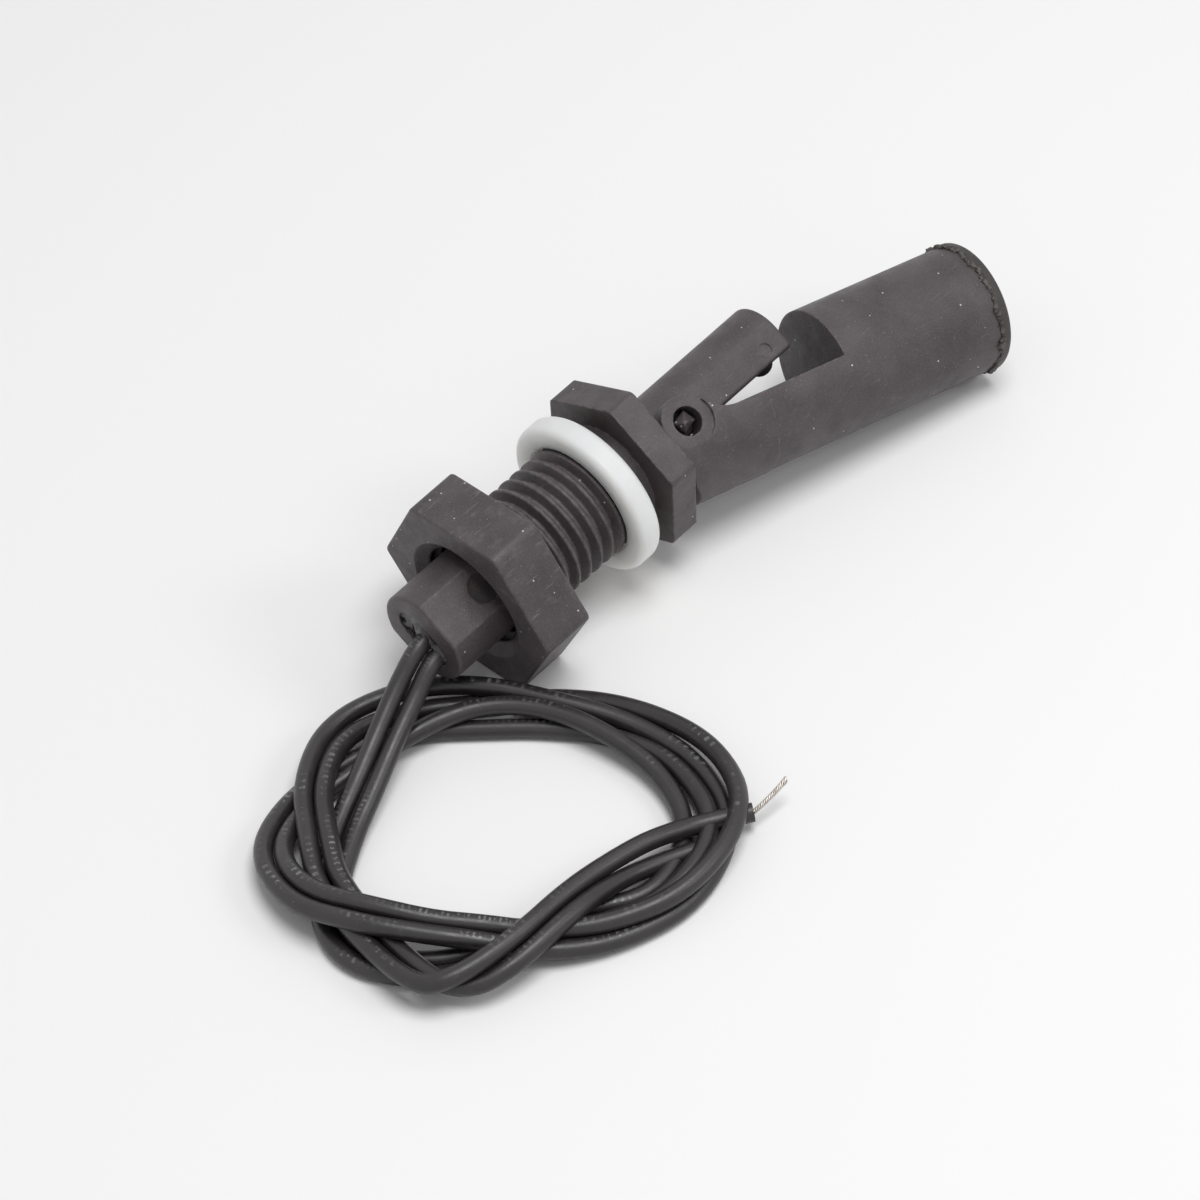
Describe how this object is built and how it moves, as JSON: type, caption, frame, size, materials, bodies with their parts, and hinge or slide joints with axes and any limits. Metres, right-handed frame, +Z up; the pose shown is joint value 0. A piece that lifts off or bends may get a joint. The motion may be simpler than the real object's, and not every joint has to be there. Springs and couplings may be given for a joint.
{
  "type": "float level switch",
  "caption": "Side-mounted float level switch: black plastic float hinged to a threaded reed housing, with lock nut, pale sealing washer and two coiled leads.",
  "frame": {"origin": "on the table, under the middle of the switch's box without its free wires", "axes": "+Z up, away from the table; +X along the level heading of the thread, from the wires to the float"},
  "size_m": [0.1316, 0.0632, 0.0259],
  "materials": {
    "housing": "fine moulded black polypropylene, dusty",
    "nut": "fine moulded black polypropylene, scuffed",
    "seal": "milky translucent silicone",
    "float": "fine moulded black polypropylene",
    "cap": "black polypropylene, welded edge",
    "magnet": "sintered ferrite",
    "reed_glass": "green tinted glass",
    "reed_metal": "nickel iron, plated",
    "tinned": "tinned copper strands",
    "sleeve": "thin insulating sleeve",
    "wire": "smooth black insulation",
    "solder": "dull solder",
    "potting": "glossy black epoxy"
  },
  "bodies": {
    "root": {"switch_body": "housing", "reed_glass": "reed_glass", "reed_blade_front": "reed_metal", "reed_blade_rear": "reed_metal", "lead_splice": "tinned", "return_wire": "tinned", "return_sleeve": "sleeve", "inner_lead_a": "wire", "inner_lead_b": "wire", "solder_joint_a": "solder", "solder_joint_b": "solder", "potting": "potting", "lead_wire_a": "wire", "lead_wire_b": "wire", "lead_end_a": "wire", "lead_end_b": "wire", "conductor_a": "tinned", "conductor_b": "tinned", "wire_coil": "wire"},
    "float": {"float_arm": "float", "float_cap": "cap", "float_magnet": "magnet"},
    "nut": {"lock_nut": "nut"},
    "washer": {"sealing_washer": "seal"}
  },
  "joints": [
    {"name": "float_hinge", "type": "hinge", "parent": "root", "child": "float", "pos_m": [-0.00316, 0.00219, 0.01374], "axis": [0.0536, 0.6022, -0.7965], "range_deg": [-15.6, 1.5]},
    {"name": "nut_turn", "type": "hinge", "parent": "root", "child": "nut", "pos_m": [-0.03419, 0.00321, 0.01243], "axis": [0.9977, 0, 0.0671], "continuous": true},
    {"name": "washer_slide", "type": "slide", "parent": "root", "child": "washer", "axis": [0.9977, 0, 0.0671], "range_m": [-0.0126, 0.00275]}
  ]
}
